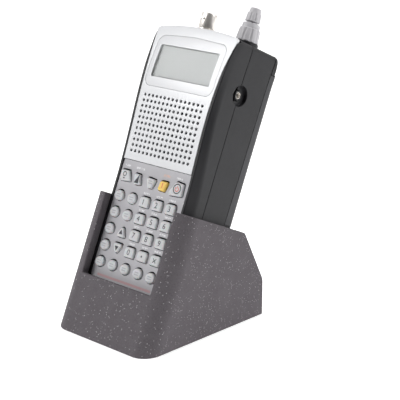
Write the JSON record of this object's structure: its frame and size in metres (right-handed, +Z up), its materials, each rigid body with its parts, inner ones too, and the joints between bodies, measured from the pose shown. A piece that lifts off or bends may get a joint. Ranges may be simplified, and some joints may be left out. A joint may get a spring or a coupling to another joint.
{
  "type": "hand-held radio scanner",
  "caption": "Hand-held scanning receiver with keypad, grille, display, aerial socket and knobs, leaning back in a wedge-shaped desk stand.",
  "frame": {"origin": "on the desk, under the middle of the foot of the stand", "axes": "+X to the right as the keypad is read, +Y to the back, +Z up"},
  "size_m": [0.0768, 0.1155, 0.1793],
  "materials": {
    "printed_plastic": "matte, fine glitter",
    "case_plastic": "satin, finely textured",
    "face_silver": "satin paint",
    "keypad_grey": "satin paint",
    "bezel_silver": "satin paint",
    "clear_lens": "clear",
    "lcd": "satin",
    "key_light": "satin",
    "key_yellow": "satin",
    "knob_grey": "satin",
    "nickel": "polished",
    "brass": "polished",
    "steel": "plated",
    "circuit_board": "solder mask",
    "rubber_mat": "matte",
    "cloth": "woven",
    "insulator": "smooth",
    "black_plastic": "smooth",
    "cell_sleeve": "printed sleeve"
  },
  "bodies": {
    "stand": {"desk_stand": "printed_plastic"},
    "receiver": {"front_case": "case_plastic", "rear_case": "case_plastic", "face_panel": "face_silver", "keypad_plate": "keypad_grey", "display_bezel": "bezel_silver", "display_lens": "clear_lens", "lcd_glass": "lcd", "keypad_mat": "rubber_mat", "logic_board": "circuit_board", "rf_board": "circuit_board", "loudspeaker": "steel", "speaker_cloth": "cloth", "aerial_socket": "nickel", "socket_nut": "nickel", "socket_insulator": "insulator", "socket_contact": "brass", "control_pot": "steel", "headphone_jack": "black_plastic", "spring_contacts": "steel", "plate_contacts": "steel", "case_screw_left": "steel", "case_screw_right": "steel", "battery_1": "cell_sleeve", "battery_2": "cell_sleeve", "battery_3": "cell_sleeve", "battery_4": "cell_sleeve"},
    "battery_door": {"battery_door": "case_plastic"},
    "squelch_knob": {"squelch_knob": "knob_grey"},
    "volume_knob": {"volume_knob": "knob_grey"},
    "key_light": {"key_light": "key_light"},
    "key_search": {"key_search": "key_light"},
    "key_mode": {"key_mode": "key_light"},
    "key_shift": {"key_shift": "key_yellow"},
    "key_power": {"key_power": "key_light"},
    "key_function_1": {"key_function_1": "key_light"},
    "key_function_2": {"key_function_2": "key_light"},
    "key_1": {"key_1": "key_light"},
    "key_2": {"key_2": "key_light"},
    "key_3": {"key_3": "key_light"},
    "key_function_3": {"key_function_3": "key_light"},
    "key_function_4": {"key_function_4": "key_light"},
    "key_4": {"key_4": "key_light"},
    "key_5": {"key_5": "key_light"},
    "key_6": {"key_6": "key_light"},
    "key_function_5": {"key_function_5": "key_light"},
    "key_up": {"key_up": "key_light"},
    "key_7": {"key_7": "key_light"},
    "key_8": {"key_8": "key_light"},
    "key_9": {"key_9": "key_light"},
    "key_function_6": {"key_function_6": "key_light"},
    "key_down": {"key_down": "key_light"},
    "key_0": {"key_0": "key_light"},
    "key_dot": {"key_dot": "key_light"},
    "key_clear": {"key_clear": "key_light"},
    "key_function_7": {"key_function_7": "key_light"},
    "key_function_8": {"key_function_8": "key_light"},
    "key_function_9": {"key_function_9": "key_light"},
    "key_function_10": {"key_function_10": "key_light"},
    "key_function_11": {"key_function_11": "key_light"}
  },
  "joints": [
    {"name": "lift_out", "type": "slide", "parent": "stand", "child": "receiver", "axis": [0, 0.412, 0.9112], "range_m": [0, 0.06]},
    {"name": "door_slide", "type": "slide", "parent": "receiver", "child": "battery_door", "axis": [0, 0.9112, -0.412], "range_m": [0, 0.02]},
    {"name": "squelch_turn", "type": "hinge", "parent": "receiver", "child": "squelch_knob", "pos_m": [0.0223, 0.05264, 0.16511], "axis": [0, 0.412, 0.9112], "range_deg": [-150, 150]},
    {"name": "volume_turn", "type": "hinge", "parent": "receiver", "child": "volume_knob", "pos_m": [0.0223, 0.05676, 0.17422], "axis": [0, 0.412, 0.9112], "range_deg": [-150, 150]},
    {"name": "press_light", "type": "slide", "parent": "receiver", "child": "key_light", "axis": [0, 0.9112, -0.412], "range_m": [0, 0.001], "stiffness_N_per_m": 600},
    {"name": "press_search", "type": "slide", "parent": "receiver", "child": "key_search", "axis": [0, 0.9112, -0.412], "range_m": [0, 0.001], "stiffness_N_per_m": 600},
    {"name": "press_mode", "type": "slide", "parent": "receiver", "child": "key_mode", "axis": [0, 0.9112, -0.412], "range_m": [0, 0.001], "stiffness_N_per_m": 600},
    {"name": "press_shift", "type": "slide", "parent": "receiver", "child": "key_shift", "axis": [0, 0.9112, -0.412], "range_m": [0, 0.001], "stiffness_N_per_m": 600},
    {"name": "press_power", "type": "slide", "parent": "receiver", "child": "key_power", "axis": [0, 0.9112, -0.412], "range_m": [0, 0.001], "stiffness_N_per_m": 600},
    {"name": "press_function_1", "type": "slide", "parent": "receiver", "child": "key_function_1", "axis": [0, 0.9112, -0.412], "range_m": [0, 0.001], "stiffness_N_per_m": 600},
    {"name": "press_function_2", "type": "slide", "parent": "receiver", "child": "key_function_2", "axis": [0, 0.9112, -0.412], "range_m": [0, 0.001], "stiffness_N_per_m": 600},
    {"name": "press_1", "type": "slide", "parent": "receiver", "child": "key_1", "axis": [0, 0.9112, -0.412], "range_m": [0, 0.001], "stiffness_N_per_m": 600},
    {"name": "press_2", "type": "slide", "parent": "receiver", "child": "key_2", "axis": [0, 0.9112, -0.412], "range_m": [0, 0.001], "stiffness_N_per_m": 600},
    {"name": "press_3", "type": "slide", "parent": "receiver", "child": "key_3", "axis": [0, 0.9112, -0.412], "range_m": [0, 0.001], "stiffness_N_per_m": 600},
    {"name": "press_function_3", "type": "slide", "parent": "receiver", "child": "key_function_3", "axis": [0, 0.9112, -0.412], "range_m": [0, 0.001], "stiffness_N_per_m": 600},
    {"name": "press_function_4", "type": "slide", "parent": "receiver", "child": "key_function_4", "axis": [0, 0.9112, -0.412], "range_m": [0, 0.001], "stiffness_N_per_m": 600},
    {"name": "press_4", "type": "slide", "parent": "receiver", "child": "key_4", "axis": [0, 0.9112, -0.412], "range_m": [0, 0.001], "stiffness_N_per_m": 600},
    {"name": "press_5", "type": "slide", "parent": "receiver", "child": "key_5", "axis": [0, 0.9112, -0.412], "range_m": [0, 0.001], "stiffness_N_per_m": 600},
    {"name": "press_6", "type": "slide", "parent": "receiver", "child": "key_6", "axis": [0, 0.9112, -0.412], "range_m": [0, 0.001], "stiffness_N_per_m": 600},
    {"name": "press_function_5", "type": "slide", "parent": "receiver", "child": "key_function_5", "axis": [0, 0.9112, -0.412], "range_m": [0, 0.001], "stiffness_N_per_m": 600},
    {"name": "press_up", "type": "slide", "parent": "receiver", "child": "key_up", "axis": [0, 0.9112, -0.412], "range_m": [0, 0.001], "stiffness_N_per_m": 600},
    {"name": "press_7", "type": "slide", "parent": "receiver", "child": "key_7", "axis": [0, 0.9112, -0.412], "range_m": [0, 0.001], "stiffness_N_per_m": 600},
    {"name": "press_8", "type": "slide", "parent": "receiver", "child": "key_8", "axis": [0, 0.9112, -0.412], "range_m": [0, 0.001], "stiffness_N_per_m": 600},
    {"name": "press_9", "type": "slide", "parent": "receiver", "child": "key_9", "axis": [0, 0.9112, -0.412], "range_m": [0, 0.001], "stiffness_N_per_m": 600},
    {"name": "press_function_6", "type": "slide", "parent": "receiver", "child": "key_function_6", "axis": [0, 0.9112, -0.412], "range_m": [0, 0.001], "stiffness_N_per_m": 600},
    {"name": "press_down", "type": "slide", "parent": "receiver", "child": "key_down", "axis": [0, 0.9112, -0.412], "range_m": [0, 0.001], "stiffness_N_per_m": 600},
    {"name": "press_0", "type": "slide", "parent": "receiver", "child": "key_0", "axis": [0, 0.9112, -0.412], "range_m": [0, 0.001], "stiffness_N_per_m": 600},
    {"name": "press_dot", "type": "slide", "parent": "receiver", "child": "key_dot", "axis": [0, 0.9112, -0.412], "range_m": [0, 0.001], "stiffness_N_per_m": 600},
    {"name": "press_clear", "type": "slide", "parent": "receiver", "child": "key_clear", "axis": [0, 0.9112, -0.412], "range_m": [0, 0.001], "stiffness_N_per_m": 600},
    {"name": "press_function_7", "type": "slide", "parent": "receiver", "child": "key_function_7", "axis": [0, 0.9112, -0.412], "range_m": [0, 0.001], "stiffness_N_per_m": 600},
    {"name": "press_function_8", "type": "slide", "parent": "receiver", "child": "key_function_8", "axis": [0, 0.9112, -0.412], "range_m": [0, 0.001], "stiffness_N_per_m": 600},
    {"name": "press_function_9", "type": "slide", "parent": "receiver", "child": "key_function_9", "axis": [0, 0.9112, -0.412], "range_m": [0, 0.001], "stiffness_N_per_m": 600},
    {"name": "press_function_10", "type": "slide", "parent": "receiver", "child": "key_function_10", "axis": [0, 0.9112, -0.412], "range_m": [0, 0.001], "stiffness_N_per_m": 600},
    {"name": "press_function_11", "type": "slide", "parent": "receiver", "child": "key_function_11", "axis": [0, 0.9112, -0.412], "range_m": [0, 0.001], "stiffness_N_per_m": 600}
  ]
}
